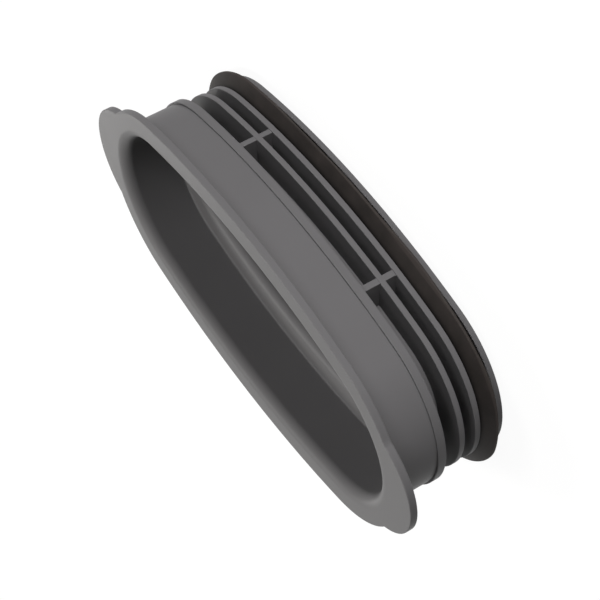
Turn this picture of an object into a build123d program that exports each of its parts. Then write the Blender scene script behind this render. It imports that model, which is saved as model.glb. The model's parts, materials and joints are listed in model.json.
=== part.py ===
from build123d import *
from math import atan2, degrees
import os

# Flat oval duct cap: a stepped plastic plug with ribs, and a rubber lip seal in its last groove.
# It stands on its closed end, with its mouth up. X runs along the oval, Y across it.

# The oval, millimetres: the outline of the first rib, which fills a duct socket
duct_width = 102.0
duct_height = 49.0
side_bow = 3.42

# The outside, from the mouth down to the closed end
collar_length = 11.7
first_rib = 1.9
first_groove = 3.8
thin_rib = 1.27
second_groove = 2.45
seal_groove = 3.94
end_rib = 1.22

# How far each of them stays inside the oval
collar_relief = 0.43
thin_rib_relief = 0.94
end_rib_relief = 0.77
seal_seat_depth = 4.2

# The flange at the mouth, and the finger ear at each of its ends
flange_thickness = 1.68
flange_reach = 2.97
ear_radius = 15.05
ear_reach = 7.3
ear_shift = 0.87

# The bars that join the first three ribs, two on each long side
bar_width = 1.4
bar_spacing = 43.2
bar_drop = 0.1

# The inside: a wide mouth, a ledge, and a narrower pocket with a floor
mouth_wall = 2.93
mouth_round = 2.4
ledge_depth = 12.87
ledge_width = 6.65
ledge_round = 2.3
ledge_thickness = 2.0
pocket_wall = 2.2
floor_thickness = 2.5

# The lip seal: a band in the seal groove, with a thin lip that flares towards the closed end
seal_clearance = 0.1
band_thickness = 2.6
lip_reach = 1.67
lip_slope = 2.0
lip_root = 1.3
lip_tip = 0.5

# Heights above the closed end
seal_groove_high = end_rib + seal_groove
third_rib_high = seal_groove_high + thin_rib
second_rib_low = third_rib_high + second_groove
second_rib_high = second_rib_low + thin_rib
first_rib_low = second_rib_high + first_groove
first_rib_high = first_rib_low + first_rib
body_depth = first_rib_high + collar_length
flange_low = body_depth - flange_thickness
ledge_height = body_depth - ledge_depth

# How far the inner outlines lie outside the ribs' oval
mouth_grow = -collar_relief - mouth_wall
pocket_grow = mouth_grow - ledge_width
core_grow = pocket_grow + pocket_wall
band_inner_grow = -seal_seat_depth + seal_clearance
band_outer_grow = band_inner_grow + band_thickness

# The oval's long sides are flat arcs that bow out and run tangent into its round ends
end_radius = duct_height / 2 - side_bow
end_centre = duct_width / 2 - end_radius
side_radius = (end_centre**2 + duct_height**2 / 4 - end_radius**2) / (2 * side_bow)
side_centre = side_radius - duct_height / 2


def draw_oval(grow, mode=Mode.ADD):
    """Draw the oval, grown outwards by a distance, in the sketch that is open."""
    to_corner = Vector(end_centre, side_centre).normalized() * (end_radius + grow)
    corner_x = end_centre + to_corner.X
    corner_y = to_corner.Y
    tip_x = duct_width / 2 + grow
    crown_y = duct_height / 2 + grow
    with BuildLine() as outline:
        ThreePointArc((corner_x, -corner_y), (tip_x, 0), (corner_x, corner_y))
        ThreePointArc((corner_x, corner_y), (0, crown_y), (-corner_x, corner_y))
        ThreePointArc((-corner_x, corner_y), (-tip_x, 0), (-corner_x, -corner_y))
        ThreePointArc((-corner_x, -corner_y), (0, -crown_y), (corner_x, -corner_y))
    make_face(outline.edges(), mode=mode)


def oval_slab(grow, low, high, mode=Mode.ADD):
    """Add or cut a slab of the grown oval between two heights."""
    with BuildSketch(Plane.XY.offset(low)) as base:
        draw_oval(grow)
    extrude(base.sketch, amount=high - low, mode=mode)


def oval_cone(low_grow, low, high_grow, high, mode=Mode.ADD):
    """Add or cut a slab that slopes from one grown oval up to another."""
    with BuildSketch(Plane.XY.offset(low)) as base:
        draw_oval(low_grow)
    slope = degrees(atan2(low_grow - high_grow, high - low))
    extrude(base.sketch, amount=high - low, taper=slope, mode=mode)


def oval_edges(part, grow, height):
    """Find the edges of the grown oval that lie at one height."""
    arcs = part.edges().filter_by(GeomType.CIRCLE).filter_by_position(Axis.Z, height, height)
    radii = (end_radius + grow, side_radius + grow)
    return arcs.filter_by(lambda arc: min(abs(arc.radius - radius) for radius in radii) < 0.001)


# The cap: one moulding
with BuildPart() as cap_body:
    # Wall round the pocket, web under the ledge, seat of the seal, and collar
    oval_slab(core_grow, 0, first_rib_low)
    oval_slab(mouth_grow, ledge_height - ledge_thickness, first_rib_low)
    oval_slab(-seal_seat_depth, 0, third_rib_high)
    oval_slab(-collar_relief, first_rib_high, flange_low)

    # Ribs
    ribs = (
        (-end_rib_relief, 0, end_rib),
        (-thin_rib_relief, seal_groove_high, third_rib_high),
        (-thin_rib_relief, second_rib_low, second_rib_high),
        (0, first_rib_low, first_rib_high),
    )
    for grow, low, high in ribs:
        oval_slab(grow, low, high)

    # Bars across the two grooves next to the collar
    with BuildSketch(Plane.XY.offset(third_rib_high)):
        with GridLocations(bar_spacing, 0, 2, 1):
            Rectangle(bar_width, duct_height)
        draw_oval(-thin_rib_relief - bar_drop, mode=Mode.INTERSECT)
    extrude(amount=first_rib_low - third_rib_high)

    # Flange with its ears
    with BuildSketch(Plane.XY.offset(flange_low)):
        draw_oval(flange_reach)
        ear_spacing = duct_width + 2 * (ear_reach - ear_radius)
        with Locations((0, ear_shift)):
            with GridLocations(ear_spacing, 0, 2, 1):
                Circle(ear_radius)
    extrude(amount=flange_thickness)

    # Mouth, ledge and pocket
    oval_slab(mouth_grow, ledge_height, body_depth, mode=Mode.SUBTRACT)
    oval_slab(pocket_grow, floor_thickness, ledge_height, mode=Mode.SUBTRACT)
    fillet(oval_edges(cap_body, mouth_grow, body_depth), radius=mouth_round)
    fillet(oval_edges(cap_body, pocket_grow, ledge_height), radius=ledge_round)

# The lip seal: one rubber ring
with BuildPart() as lip_seal:
    band_low = end_rib + seal_clearance
    band_high = seal_groove_high - seal_clearance
    lip_high = band_high - lip_slope
    lip_low = lip_high - lip_tip
    oval_cone(lip_reach, lip_high, band_outer_grow, band_high)
    oval_slab(lip_reach, lip_low, lip_high)
    oval_cone(lip_reach, lip_low, band_outer_grow, band_high - lip_root, mode=Mode.SUBTRACT)
    oval_slab(band_outer_grow, band_low, band_high)
    oval_slab(band_inner_grow, band_low, band_high, mode=Mode.SUBTRACT)

cap_body.part.label = "cap_body"
lip_seal.part.label = "lip_seal"

os.makedirs("parts", exist_ok=True)
export_step(cap_body.part, "parts/cap_body.step")
export_step(lip_seal.part, "parts/lip_seal.step")
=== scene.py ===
import json
from math import acos, asin, atan2, cos, hypot, pi, radians, sin

import bmesh
import bpy
from bpy.props import FloatProperty, FloatVectorProperty, PointerProperty
from bpy.types import Operator, Panel, PropertyGroup
from mathutils import Matrix, Vector

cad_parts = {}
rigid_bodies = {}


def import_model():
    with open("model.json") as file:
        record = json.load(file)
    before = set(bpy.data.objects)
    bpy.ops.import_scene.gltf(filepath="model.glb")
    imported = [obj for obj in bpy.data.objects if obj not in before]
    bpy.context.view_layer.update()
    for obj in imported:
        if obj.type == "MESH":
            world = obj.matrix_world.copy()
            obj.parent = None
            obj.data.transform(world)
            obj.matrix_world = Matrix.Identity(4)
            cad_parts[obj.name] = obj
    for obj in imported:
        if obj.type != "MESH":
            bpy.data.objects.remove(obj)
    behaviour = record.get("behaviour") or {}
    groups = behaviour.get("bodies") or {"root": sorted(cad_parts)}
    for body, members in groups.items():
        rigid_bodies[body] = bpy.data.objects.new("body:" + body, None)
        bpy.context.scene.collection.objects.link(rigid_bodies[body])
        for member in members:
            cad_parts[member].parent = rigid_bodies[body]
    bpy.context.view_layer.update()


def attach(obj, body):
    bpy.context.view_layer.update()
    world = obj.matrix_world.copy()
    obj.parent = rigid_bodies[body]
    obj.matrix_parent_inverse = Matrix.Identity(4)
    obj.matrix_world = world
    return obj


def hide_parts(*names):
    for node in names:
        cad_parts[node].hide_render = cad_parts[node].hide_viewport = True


bl_info = {
    "name": "Flat oval duct cap",
    "version": (1, 0, 0),
    "blender": (4, 5, 0),
    "location": "3D View > Sidebar > Duct cap",
    "description": "Models a flat oval duct cap with its rubber lip seal, and a stage for it",
    "category": "Object",
}

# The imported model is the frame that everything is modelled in
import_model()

MM = 0.001

# Steps round each end and along each side of the oval, and in each rounded corner
END_STEPS = 96
SIDE_STEPS = 48
BIG_ROUND_STEPS = 14
SMALL_ROUND_STEPS = 4
BAR_ROUND_STEPS = 2

# Points closer than this are merged, and a corner is found within this distance of its place
MERGE_DISTANCE = 0.002 * MM
FIND_DISTANCE = 0.01 * MM

# Faces that meet at less than this angle are shaded as one smooth surface
SMOOTH_ANGLE = radians(32)


def size(name, description, millimetres):
    """A length that a user can change, with its default in millimetres."""
    return FloatProperty(
        name=name, description=description, default=millimetres * MM, precision=5, unit="LENGTH"
    )


def shade(name, description, colour):
    """A surface colour that a user can change."""
    return FloatVectorProperty(
        name=name, description=description, default=colour, size=3, min=0, max=1, subtype="COLOR"
    )


class OvalSizes(PropertyGroup):
    duct_width: size("Duct width", "Width of the oval over the first rib", 102)
    duct_height: size("Duct height", "Height of the oval over the first rib", 49)
    side_bow: size("Side bow", "How far the long sides bow out beyond the round ends", 3.42)


class CapSizes(PropertyGroup):
    collar_length: size("Collar length", "From the mouth to the first rib", 11.7)
    first_rib: size("First rib", "Thickness of the rib next to the collar", 1.9)
    first_groove: size("First groove", "Width of the groove after the first rib", 3.8)
    thin_rib: size("Thin ribs", "Thickness of the second and third ribs", 1.27)
    second_groove: size("Second groove", "Width of the groove after the second rib", 2.45)
    seal_groove: size("Seal groove", "Width of the groove that holds the lip seal", 3.94)
    end_rib: size("End rib", "Thickness of the rib at the closed end", 1.22)
    collar_relief: size("Collar relief", "How far the collar lies inside the oval", 0.43)
    thin_rib_relief: size("Thin rib relief", "How far the thin ribs lie inside the oval", 0.94)
    end_rib_relief: size("End rib relief", "How far the end rib lies inside the oval", 0.77)
    seal_seat_depth: size("Seal seat depth", "How far the seal's seat lies inside the oval", 4.2)
    rib_round: size("Rib edge round", "Radius of the ribs' edges", 0.16)
    flange_thickness: size("Flange thickness", "Thickness of the flange and its ears", 1.68)
    flange_reach: size("Flange reach", "How far the flange stands out beyond the oval", 2.97)
    flange_round: size("Flange edge round", "Radius of the flange's outer edges", 0.2)
    ear_radius: size("Ear radius", "Radius of the finger ears", 15.05)
    ear_reach: size("Ear reach", "How far the ears stand out beyond the oval", 7.3)
    ear_shift: size("Ear shift", "How far the ears lie off the middle", 0.87)
    bar_width: size("Bar width", "Width of the bars between the ribs", 1.4)
    bar_spacing: size("Bar spacing", "Distance between the bars on one side", 43.2)
    bar_drop: size("Bar drop", "How far the bars stay below the ribs", 0.1)
    mouth_wall: size("Mouth wall", "Wall between the collar and the mouth", 2.93)
    mouth_round: size("Mouth round", "Radius of the mouth's edge", 2.4)
    ledge_depth: size("Ledge depth", "Depth of the ledge inside the mouth", 12.87)
    ledge_width: size("Ledge width", "Width of the ledge", 6.65)
    ledge_round: size("Ledge round", "Radius of the ledge's inner edge", 2.3)
    ledge_thickness: size("Ledge thickness", "Thickness of the web under the ledge", 2.0)
    pocket_wall: size("Pocket wall", "Wall between the pocket and the grooves", 2.2)
    corner_round: size("Ledge corner", "Radius of the corner behind the ledge", 0.45)
    floor_thickness: size("Floor thickness", "Thickness of the closed end", 2.5)
    floor_round: size("Floor round", "Radius round the pocket's floor", 2.0)


class SealSizes(PropertyGroup):
    clearance: size("Clearance", "Gap between the seal and its groove", 0.1)
    band: size("Band", "Thickness of the seal's band", 2.6)
    lip_reach: size("Lip reach", "How far the lip stands out beyond the oval", 1.67)
    lip_slope: size("Lip slope", "How far the lip drops from its root to its tip", 2.0)
    lip_root: size("Lip root", "Thickness of the lip at its root", 1.3)
    lip_tip: size("Lip tip", "Thickness of the lip at its tip", 0.5)
    lip_round: size("Lip round", "Radius of the lip's edges", 0.18)


class Finishes(PropertyGroup):
    plastic: shade("Plastic", "Colour of the moulded cap", (0.16, 0.158, 0.159))
    rubber: shade("Rubber", "Colour of the lip seal", (0.0205, 0.0172, 0.0155))


class Stage(PropertyGroup):
    eye: FloatVectorProperty(
        name="Camera place",
        description="Where the camera stands",
        default=(0.186585, 0.295002, 0.136482),
        size=3,
        subtype="TRANSLATION",
    )
    aim: FloatVectorProperty(
        name="Camera aim",
        description="The point at the middle of the picture",
        default=(0.002395, -0.001978, 0.015207),
        size=3,
        subtype="TRANSLATION",
    )
    roll: FloatProperty(
        name="Camera roll",
        description="How far the camera is turned about its line of sight",
        default=radians(-117.934),
        subtype="ANGLE",
    )
    lens: FloatProperty(
        name="Lens", description="Focal length for a 36 mm sensor", default=108.61, min=1
    )


def build_oval(sizes):
    """Work out the flat oval of the ribs: round ends joined by flat arcs that run tangent."""
    oval = {"half_width": sizes.duct_width / 2, "half_height": sizes.duct_height / 2}
    oval["end_radius"] = oval["half_height"] - sizes.side_bow
    oval["end_centre"] = oval["half_width"] - oval["end_radius"]
    square = oval["end_centre"] ** 2 + oval["half_height"] ** 2 - oval["end_radius"] ** 2
    oval["side_radius"] = square / (2 * sizes.side_bow)
    oval["side_centre"] = oval["side_radius"] - oval["half_height"]
    oval["turn"] = atan2(oval["side_centre"], oval["end_centre"])
    return oval


def growth(oval, point):
    """How far a point lies outside the oval."""
    across, along = abs(point.x), abs(point.y)
    if atan2(along, across - oval["end_centre"]) < oval["turn"]:
        return hypot(across - oval["end_centre"], along) - oval["end_radius"]
    return hypot(across, along + oval["side_centre"]) - oval["side_radius"]


def select_vertices(test):
    """Select only the shown vertices of the mesh in edit mode whose place passes a test."""
    mesh = bmesh.from_edit_mesh(bpy.context.object.data)
    bpy.ops.mesh.select_all(action="DESELECT")
    bpy.ops.mesh.select_mode(type="VERT")
    for vertex in mesh.verts:
        vertex.select = not vertex.hide and test(vertex.co)
    mesh.select_flush_mode()
    bmesh.update_edit_mesh(bpy.context.object.data)


def select_edges(test):
    """Select only the edges of the mesh in edit mode that pass a test."""
    mesh = bmesh.from_edit_mesh(bpy.context.object.data)
    bpy.ops.mesh.select_all(action="DESELECT")
    bpy.ops.mesh.select_mode(type="EDGE")
    for edge in mesh.edges:
        edge.select = test(edge)
    mesh.select_flush_mode()
    bmesh.update_edit_mesh(bpy.context.object.data)


def start_piece(name):
    """Start an empty mesh piece and leave it in edit mode."""
    if bpy.context.object and bpy.context.object.mode != "OBJECT":
        bpy.ops.object.mode_set(mode="OBJECT")
    bpy.ops.object.select_all(action="DESELECT")
    bpy.ops.mesh.primitive_plane_add(size=MM)
    piece = bpy.context.object
    piece.name = name
    piece.data.name = name
    bpy.ops.object.mode_set(mode="EDIT")
    bpy.ops.mesh.delete(type="VERT")
    return piece


def start_point(place):
    """Add one selected point to the mesh in edit mode."""
    bpy.ops.mesh.select_all(action="DESELECT")
    bpy.ops.mesh.select_mode(type="VERT")
    bpy.ops.mesh.primitive_plane_add(size=MM)
    bpy.ops.mesh.merge(type="CENTER")
    bpy.ops.transform.translate(value=place)


def draw_section(oval, points):
    """Draw a line through points of the section, each a growth beyond the oval and a height."""
    places = [Vector((oval["half_width"] + grow, 0, height)) for grow, height in points]
    start_point(places[0])
    for here, there in zip(places, places[1:]):
        bpy.ops.mesh.extrude_vertices_move(TRANSFORM_OT_translate={"value": there - here})


def round_corner(oval, grow, height, radius, steps):
    """Round the corner of the section that lies at one growth and height."""
    place = Vector((oval["half_width"] + grow, 0, height))
    select_vertices(lambda point: (point - place).length < FIND_DISTANCE)
    bpy.ops.mesh.bevel(offset=radius, segments=steps, affect="VERTICES", profile=0.5)


def sweep_round(arcs):
    """Carry what is selected round a chain of arcs, each a centre, an angle and its steps."""
    # A spin turns clockwise about its axis, so the axis points down for an anticlockwise chain
    for centre, angle, steps in arcs:
        bpy.ops.mesh.spin(steps=steps, angle=angle, center=centre, axis=(0, 0, -1))


def oval_arcs(oval):
    """The arcs of the oval, from its right-hand tip and anticlockwise."""
    turn = oval["turn"]
    across = pi - 2 * turn
    right_end = (oval["end_centre"], 0, 0)
    left_end = (-oval["end_centre"], 0, 0)
    return (
        (right_end, turn, END_STEPS // 2),
        ((0, -oval["side_centre"], 0), across, SIDE_STEPS),
        (left_end, 2 * turn, END_STEPS),
        ((0, oval["side_centre"], 0), across, SIDE_STEPS),
        (right_end, turn, END_STEPS // 2),
    )


def merge_doubles():
    """Merge the points of the mesh in edit mode that lie in one place."""
    bpy.ops.mesh.select_all(action="SELECT")
    bpy.ops.mesh.remove_doubles(threshold=MERGE_DISTANCE)


def close_rims(height):
    """Fill the flat area between the open rims that lie at one height."""
    select_edges(
        lambda edge: edge.is_boundary
        and all(abs(vertex.co.z - height) < MERGE_DISTANCE for vertex in edge.verts)
    )
    bpy.ops.mesh.fill(use_beauty=True)


def finish_shape(piece):
    """Turn the faces outwards, shade the curved ones smooth and keep the flats flat."""
    bpy.ops.mesh.select_all(action="SELECT")
    bpy.ops.mesh.normals_make_consistent(inside=False)
    mesh = bmesh.from_edit_mesh(piece.data)
    if any(edge.is_boundary for edge in mesh.edges):
        raise RuntimeError(f"{piece.name} has an open edge")
    bpy.ops.object.mode_set(mode="OBJECT")
    bpy.ops.object.shade_smooth_by_angle(angle=SMOOTH_ANGLE)
    weighted = piece.modifiers.new("Keep flats flat", "WEIGHTED_NORMAL")
    weighted.keep_sharp = True
    bpy.ops.object.modifier_apply(modifier=weighted.name)


def draw_cap_walls(oval, sizes):
    """Draw the sections of the collar, ribs, mouth and pocket, and sweep them round the oval."""
    end_high = sizes.end_rib
    third_low = end_high + sizes.seal_groove
    third_high = third_low + sizes.thin_rib
    second_low = third_high + sizes.second_groove
    second_high = second_low + sizes.thin_rib
    first_low = second_high + sizes.first_groove
    first_high = first_low + sizes.first_rib
    top = first_high + sizes.collar_length
    flange_low = top - sizes.flange_thickness
    ledge = top - sizes.ledge_depth
    web_low = ledge - sizes.ledge_thickness
    collar = -sizes.collar_relief
    mouth = collar - sizes.mouth_wall
    pocket = mouth - sizes.ledge_width
    core = pocket + sizes.pocket_wall
    thin = -sizes.thin_rib_relief
    seat = -sizes.seal_seat_depth
    end = -sizes.end_rib_relief
    spare = sizes.mouth_round / 4

    # The outside, from under the flange to the closed end
    outside = [(collar + spare, flange_low), (collar, flange_low), (collar, first_high)]
    outside += [(0, first_high), (0, first_low), (mouth, first_low), (mouth, web_low)]
    outside += [(core, web_low), (core, second_high), (thin, second_high), (thin, second_low)]
    outside += [(core, second_low), (core, third_high), (thin, third_high), (thin, third_low)]
    outside += [(seat, third_low), (seat, end_high), (end, end_high), (end, 0), (seat, 0)]
    draw_section(oval, outside)
    edges = [(0, first_high), (0, first_low), (thin, second_high), (thin, second_low)]
    edges += [(thin, third_high), (thin, third_low), (end, end_high), (end, 0)]
    for grow, height in edges:
        round_corner(oval, grow, height, sizes.rib_round, SMALL_ROUND_STEPS)

    # The inside, from the mouth's edge to the pocket's floor
    floor = sizes.floor_thickness
    inside = [(mouth + sizes.mouth_round + spare, top), (mouth, top), (mouth, ledge)]
    inside += [(pocket, ledge), (pocket, floor), (pocket - sizes.floor_round - spare, floor)]
    draw_section(oval, inside)
    round_corner(oval, mouth, top, sizes.mouth_round, BIG_ROUND_STEPS)
    round_corner(oval, mouth, ledge, sizes.corner_round, SMALL_ROUND_STEPS)
    round_corner(oval, pocket, ledge, sizes.ledge_round, BIG_ROUND_STEPS)
    round_corner(oval, pocket, floor, sizes.floor_round, BIG_ROUND_STEPS)

    bpy.ops.mesh.select_all(action="SELECT")
    sweep_round(oval_arcs(oval))
    merge_doubles()
    return {
        "flange_low": flange_low,
        "top": top,
        "core": core,
        "bars_low": third_high,
        "bars_high": first_low,
    }


def draw_flange(oval, sizes, flange_low, top):
    """Draw the outline of the flange and its ears as a chain of arcs, and raise it to a plate."""
    radius = oval["end_radius"] + sizes.flange_reach
    ear_centre = oval["half_width"] + sizes.ear_reach - sizes.ear_radius
    reach = hypot(ear_centre - oval["end_centre"], sizes.ear_shift)
    lean = atan2(sizes.ear_shift, ear_centre - oval["end_centre"])
    half = acos((reach**2 + radius**2 - sizes.ear_radius**2) / (2 * reach * radius))
    upper = lean + half
    lower = lean - half
    start = Vector((oval["end_centre"] + radius * cos(lower), radius * sin(lower), flange_low))
    finish = Vector((oval["end_centre"] + radius * cos(upper), radius * sin(upper), flange_low))
    middle = Vector((ear_centre, sizes.ear_shift, flange_low))
    start_arm = start - middle
    finish_arm = finish - middle
    ear_angle = atan2(finish_arm.y, finish_arm.x) - atan2(start_arm.y, start_arm.x)
    turn = oval["turn"]
    right_end = (oval["end_centre"], 0, 0)
    left_end = (-oval["end_centre"], 0, 0)
    right_ear = (ear_centre, sizes.ear_shift, 0)
    left_ear = (-ear_centre, sizes.ear_shift, 0)
    across = pi - 2 * turn
    ear_steps = END_STEPS // 2
    short_steps = END_STEPS // 6
    arcs = (
        (right_ear, ear_angle, ear_steps),
        (right_end, turn - upper, short_steps),
        ((0, -oval["side_centre"], 0), across, SIDE_STEPS),
        (left_end, turn - upper, short_steps),
        (left_ear, ear_angle, ear_steps),
        (left_end, turn + lower, short_steps),
        ((0, oval["side_centre"], 0), across, SIDE_STEPS),
        (right_end, turn + lower, short_steps),
    )
    start_point(start)
    sweep_round(arcs)
    bpy.ops.mesh.select_linked()
    bpy.ops.mesh.remove_doubles(threshold=MERGE_DISTANCE)
    bpy.ops.mesh.edge_face_add()
    thickness = (0, 0, top - flange_low)
    bpy.ops.mesh.extrude_region_move(TRANSFORM_OT_translate={"value": thickness})


def round_flange(sizes):
    """Round the flange's outer edges, then open its flat faces so that the walls can join them."""
    select_edges(lambda edge: any(len(face.verts) > END_STEPS for face in edge.link_faces))
    bpy.ops.mesh.bevel(
        offset=sizes.flange_round, segments=SMALL_ROUND_STEPS, affect="EDGES", profile=0.5
    )
    mesh = bmesh.from_edit_mesh(bpy.context.object.data)
    bpy.ops.mesh.select_all(action="DESELECT")
    bpy.ops.mesh.select_mode(type="FACE")
    for face in mesh.faces:
        face.select = len(face.verts) > END_STEPS
    bmesh.update_edit_mesh(bpy.context.object.data)
    bpy.ops.mesh.delete(type="ONLY_FACE")


def add_bars(oval, sizes, places):
    """Model one bar between the ribs, mirror it to all four places and join it to the cap."""
    cap = bpy.context.object
    bpy.ops.object.mode_set(mode="OBJECT")
    bars = start_piece("bars")
    low, high = places["bars_low"], places["bars_high"]
    middle = sizes.bar_spacing / 2
    lean = asin(middle / oval["side_radius"])
    rise = oval["side_radius"] * cos(lean) - oval["side_centre"]
    outer = rise - sizes.thin_rib_relief - sizes.bar_drop
    inner = rise + places["core"] - sizes.bar_width
    bpy.ops.mesh.primitive_cube_add(size=1)
    bpy.ops.transform.resize(value=(sizes.bar_width, outer - inner, high - low))
    centre = Vector((middle, (outer + inner) / 2, (high + low) / 2))
    bpy.ops.transform.translate(value=centre)
    select_vertices(lambda point: point.y > centre.y)
    bpy.ops.transform.rotate(
        value=lean, orient_axis="Z", center_override=(middle, outer, centre.z)
    )
    select_edges(lambda edge: all(vertex.co.y > centre.y for vertex in edge.verts))
    bpy.ops.mesh.bevel(
        offset=sizes.rib_round / 2, segments=BAR_ROUND_STEPS, affect="EDGES"
    )
    bpy.ops.object.mode_set(mode="OBJECT")
    mirror = bars.modifiers.new("Four places", "MIRROR")
    mirror.use_axis = (True, True, False)
    bpy.ops.object.modifier_apply(modifier=mirror.name)
    cap.select_set(True)
    bpy.context.view_layer.objects.active = cap
    bpy.ops.object.join()
    bpy.ops.object.mode_set(mode="EDIT")


class DUCTCAP_OT_cap_body(Operator):
    """Model the moulded cap: collar, ribs, bars, mouth, pocket, and the flange with its ears"""

    bl_idname = "ductcap.cap_body"
    bl_label = "Cap body"

    def execute(self, context):
        oval = build_oval(context.scene.oval_sizes)
        sizes = context.scene.cap_sizes
        cap = start_piece("cap_moulding")
        places = draw_cap_walls(oval, sizes)
        draw_flange(oval, sizes, places["flange_low"], places["top"])
        round_flange(sizes)
        for height in (0, sizes.floor_thickness, places["flange_low"], places["top"]):
            close_rims(height)
        add_bars(oval, sizes, places)
        finish_shape(cap)
        cap.data.materials.append(grey_plastic(context.scene.finishes))
        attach(cap, "root")
        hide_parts("cap_body")
        return {"FINISHED"}


def draw_seal(oval, cap, seal):
    """Draw the section of the band and its flared lip, and sweep it round the oval."""
    inner = seal.clearance - cap.seal_seat_depth
    outer = inner + seal.band
    low = cap.end_rib + seal.clearance
    high = cap.end_rib + cap.seal_groove - seal.clearance
    tip_high = high - seal.lip_slope
    tip_low = tip_high - seal.lip_tip
    root_low = high - seal.lip_root
    band = [(inner, high), (inner, low), (outer, low), (outer, root_low)]
    lip = [(seal.lip_reach, tip_low), (seal.lip_reach, tip_high), (outer, high)]
    draw_section(oval, band + lip + [(inner, high)])
    merge_doubles()
    for grow, height in band + lip:
        round_corner(oval, grow, height, seal.lip_round, SMALL_ROUND_STEPS)
    bpy.ops.mesh.select_all(action="SELECT")
    sweep_round(oval_arcs(oval))
    merge_doubles()


def wave_lip(oval):
    """Pull the lip's edge a little out of line in places, as a fitted lip lies."""
    # The band inside the oval keeps still while it is hidden
    select_vertices(lambda point: growth(oval, point) < 0)
    bpy.ops.mesh.hide(unselected=False)
    for place, pull, spread in LIP_WAVES:
        middle = Vector(place) * MM
        select_vertices(lambda point: (point.xy - middle).length < GRIP * MM)
        bpy.ops.transform.translate(
            value=Vector(pull) * MM,
            use_proportional_edit=True,
            proportional_edit_falloff="SMOOTH",
            proportional_size=spread * MM,
        )
    bpy.ops.mesh.reveal(select=False)


class DUCTCAP_OT_lip_seal(Operator):
    """Model the rubber lip seal: a band in the last groove with a flared lip"""

    bl_idname = "ductcap.lip_seal"
    bl_label = "Lip seal"

    def execute(self, context):
        oval = build_oval(context.scene.oval_sizes)
        seal = start_piece("rubber_lip")
        cap_sizes, seal_sizes = context.scene.cap_sizes, context.scene.seal_sizes
        draw_seal(oval, cap_sizes, seal_sizes)
        wave_lip(oval)
        finish_shape(seal)
        rubber = black_rubber(context.scene.finishes, cap_sizes, seal_sizes)
        seal.data.materials.append(rubber)
        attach(seal, "root")
        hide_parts("lip_seal")
        return {"FINISHED"}


class Wire:
    """One output of a material's node. Sums and products of wires add Math nodes."""

    def __init__(self, tree, socket=None):
        self.tree = tree
        self.socket = socket

    def node(self, kind, settings=None, inputs=None, output=0):
        """Add a node, set it up, feed its inputs with numbers or wires, and give one output."""
        made = self.tree.nodes.new("ShaderNode" + kind)
        for name, value in (settings or {}).items():
            setattr(made, name, value)
        for name, value in (inputs or {}).items():
            if isinstance(value, Wire):
                self.tree.links.new(value.socket, made.inputs[name])
            else:
                made.inputs[name].default_value = value
        return Wire(self.tree, made.outputs[output] if made.outputs else None)

    def maths(self, operation, first, second):
        return self.node("Math", {"operation": operation}, {0: first, 1: second})

    def __add__(self, other):
        return self.maths("ADD", self, other)

    def __radd__(self, other):
        return self.maths("ADD", other, self)

    def __mul__(self, other):
        return self.maths("MULTIPLY", self, other)

    def __rmul__(self, other):
        return self.maths("MULTIPLY", other, self)


def start_material(name):
    """A new material with an empty tree, and a wire to build it from."""
    material = bpy.data.materials.new(name)
    material.use_nodes = True
    material.node_tree.nodes.clear()
    return material, Wire(material.node_tree)


def noise(place, scale, detail):
    """A cloudy pattern between zero and one, finer with a larger scale."""
    inputs = {"Vector": place, "Scale": scale, "Detail": detail}
    return place.node("TexNoise", inputs=inputs)


def ramp(value, low, high):
    """A smooth step from zero to one between two values."""
    inputs = {"Value": value, "From Min": low, "From Max": high}
    return value.node("MapRange", {"interpolation_type": "SMOOTHSTEP"}, inputs)


def blend_shades(share, colour, dark, light):
    """Blend from a darker to a lighter shade of one colour."""
    inputs = {
        "Factor": share,
        "A": (*(Vector(colour) * dark), 1),
        "B": (*(Vector(colour) * light), 1),
    }
    return share.node("Mix", {"data_type": "RGBA"}, inputs, output=2)


def finish_surface(start, look, grain, strength, depth):
    """Give a material its look and the bump of its grain."""
    bump = grain.node("Bump", inputs={"Strength": strength, "Distance": depth, "Height": grain})
    surface = start.node("BsdfPrincipled", inputs={**look, "Normal": bump})
    start.node("OutputMaterial", inputs={"Surface": surface})


def grey_plastic(finishes):
    """Matte moulded plastic: a fine even grain with faint clouds in its tone and gloss."""
    material, start = start_material("grey_plastic")
    place = start.node("TexCoord", output="Object")
    cloud = noise(place, 45, 3)
    look = {
        "Base Color": blend_shades(cloud, finishes.plastic, 0.94, 1.06),
        "Roughness": 0.37 + 0.08 * cloud,
        "Specular IOR Level": 0.07,
    }
    finish_surface(start, look, noise(place, 2600, 2), strength=0.12, depth=0.04 * MM)
    return material


def black_rubber(finishes, cap, seal):
    """Matte brownish black rubber: dusty patches, painted shade at the root of its lip and a
    painted highlight along the lip's edge.
    """
    material, start = start_material("black_rubber")
    place = start.node("TexCoord", output="Object")
    height = place.node("SeparateXYZ", inputs={"Vector": place}, output="Z")
    root_high = cap.end_rib + cap.seal_groove - seal.clearance
    edge_high = root_high - seal.lip_slope
    bloom = noise(place, 220, 5)
    # Painted shade: the dust fades out and the rubber turns darker towards the lip's root, next to
    # the rib above it
    painted_root_shade = ramp(height, root_high, root_high - 0.8 * MM)
    # Painted highlight: the rubber turns lighter along the lip's edge
    painted_edge_highlight = ramp(height, edge_high + 0.12 * MM, edge_high)
    look = {
        "Base Color": blend_shades(bloom * painted_root_shade + 0.6 * painted_edge_highlight, finishes.rubber, 0.3, 1.9),
        "Roughness": 0.55 + 0.15 * bloom,
        "Specular IOR Level": 0.15,
    }
    finish_surface(start, look, noise(place, 3200, 2), strength=0.2, depth=0.05 * MM)
    return material


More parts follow.
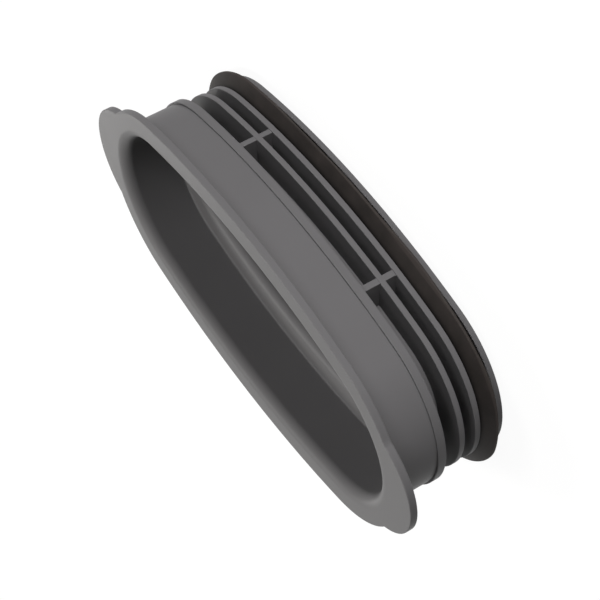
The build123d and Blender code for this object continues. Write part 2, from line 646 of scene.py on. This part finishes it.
def add_lamp(name, place, aim, width, height, power, tint):
    """Add a soft rectangular lamp that faces a point."""
    bpy.ops.object.light_add(type="AREA", location=place)
    lamp = bpy.context.object
    lamp.name = name
    lamp.data.shape = "RECTANGLE"
    lamp.data.size = width
    lamp.data.size_y = height
    lamp.data.energy = power
    lamp.data.color = tint
    lamp.rotation_euler = (Vector(aim) - Vector(place)).to_track_quat("-Z", "Y").to_euler()


def seen_rays(start):
    """One for the rays of the camera, of gloss and of glass, and zero for those that light."""
    camera = start.node("LightPath", output="Is Camera Ray")
    gloss = start.node("LightPath", output="Is Glossy Ray")
    glass = start.node("LightPath", output="Is Transmission Ray")
    return camera + gloss + glass


def white_floor():
    """Pale paper with a white glow where it is seen, which still takes the cap's shadow."""
    material, start = start_material("white_floor")
    paper = start.node("BsdfDiffuse", inputs={"Color": FLOOR_PAPER})
    glow = start.node("Emission", inputs={"Color": WHITE, "Strength": FLOOR_GLOW})
    share = seen_rays(start) * FLOOR_GLOW_SHARE
    look = start.node("MixShader", inputs={0: share, 1: paper, 2: glow})
    start.node("OutputMaterial", inputs={"Surface": look})
    return material


class DUCTCAP_OT_stage(Operator):
    """Lay the floor, set the lamps and the world, and place the camera"""

    bl_idname = "ductcap.stage"
    bl_label = "Stage"

    def execute(self, context):
        stage = context.scene.stage
        bpy.ops.object.select_all(action="DESELECT")
        bpy.ops.mesh.primitive_plane_add(size=FLOOR_SIZE)
        floor = context.object
        floor.name = "floor"
        floor.data.materials.append(white_floor())

        for name, place, width, height, power, tint in LAMPS:
            add_lamp(name, place, stage.aim, width, height, power, tint)

        world = bpy.data.worlds.new("studio")
        context.scene.world = world
        world.use_nodes = True
        world.node_tree.nodes.clear()
        start = Wire(world.node_tree)
        grey = start.node("Background", inputs={"Color": WHITE, "Strength": WORLD_LEVEL})
        white = start.node("Background", inputs={"Color": WHITE, "Strength": 1.0})
        sky = start.node("MixShader", inputs={0: seen_rays(start), 1: grey, 2: white})
        start.node("OutputWorld", inputs={"Surface": sky})

        context.scene.view_settings.view_transform = "Standard"
        bpy.ops.object.camera_add(location=stage.eye)
        camera = context.object
        camera.name = "photo_camera"
        camera.data.lens = stage.lens
        camera.data.clip_start = 0.01
        sight = Vector(stage.aim) - Vector(stage.eye)
        level = sight.to_track_quat("-Z", "Y").to_matrix()
        camera.rotation_euler = (level @ Matrix.Rotation(stage.roll, 3, "Z")).to_euler()
        context.scene.camera = camera
        return {"FINISHED"}


class DUCTCAP_PT_panel(Panel):
    """The cap's sizes, finishes and stage, and the tools that build them"""

    bl_label = "Duct cap"
    bl_idname = "DUCTCAP_PT_panel"
    bl_space_type = "VIEW_3D"
    bl_region_type = "UI"
    bl_category = "Duct cap"

    def draw(self, context):
        for group in SETTINGS:
            box = self.layout.box()
            settings = getattr(context.scene, group)
            for name in settings.bl_rna.properties.keys():
                if name not in {"rna_type", "name"}:
                    box.prop(settings, name)
        for tool in STEPS:
            self.layout.operator(tool.bl_idname)


# Two tints, and each lamp's name, place, width, height, power and tint
WARM = (1, 0.985, 0.965)
COOL = (1, 0.98, 1)
LAMPS = (
    ("top_softbox", (0.0, 0.261, 2.501), 0.5, 0.5, 24.0, WARM),
    ("front_softbox", (0.219, 2.085, 1.377), 1.2, 1.2, 14.6, COOL),
    ("key_softbox", (-1.133, -0.528, 2.18), 0.6, 0.6, 21.0, WARM),
    ("back_softbox", (-1.681, -1.681, 0.788), 0.5, 0.5, 3.2, WARM),
    ("low_strip", (0.08, 0.8, 0.014), 0.5, 0.024, 4.0, COOL),
)

# The light of the room
WHITE = (1, 1, 1, 1)
WORLD_LEVEL = 0.04

# The floor's side in metres, the grey that it reflects, and the glow that makes it look white
FLOOR_SIZE = 12
FLOOR_PAPER = (0.25, 0.25, 0.25, 1)
FLOOR_GLOW_SHARE = 0.7
FLOOR_GLOW = 1.36

# Where the lip's edge is pulled, how far, and how wide, in millimetres, and how much is gripped
GRIP = 1.5
LIP_WAVES = (
    ((-13.0, 26.2), (0, 0, 0.27), 14),
    ((24.0, 24.3), (0, 0, -0.48), 14),
    ((48.0, 13.9), (0, 0, -0.2), 6),
    ((52.6, 1.5), (-0.3, 0, 0), 8),
    ((-44.5, 17.5), (0.25, -0.15, 0), 9),
)

SETTINGS = {
    "oval_sizes": OvalSizes,
    "cap_sizes": CapSizes,
    "seal_sizes": SealSizes,
    "finishes": Finishes,
    "stage": Stage,
}
STEPS = (DUCTCAP_OT_cap_body, DUCTCAP_OT_lip_seal, DUCTCAP_OT_stage)


def register():
    for kind in (*SETTINGS.values(), *STEPS, DUCTCAP_PT_panel):
        bpy.utils.register_class(kind)
    for name, kind in SETTINGS.items():
        setattr(bpy.types.Scene, name, PointerProperty(type=kind))


def unregister():
    for name in SETTINGS:
        delattr(bpy.types.Scene, name)
    for kind in (DUCTCAP_PT_panel, *reversed(STEPS), *SETTINGS.values()):
        bpy.utils.unregister_class(kind)


def main():
    register()
    bpy.ops.ductcap.cap_body()
    bpy.ops.ductcap.lip_seal()
    bpy.ops.ductcap.stage()


if __name__ == "__main__":
    main()
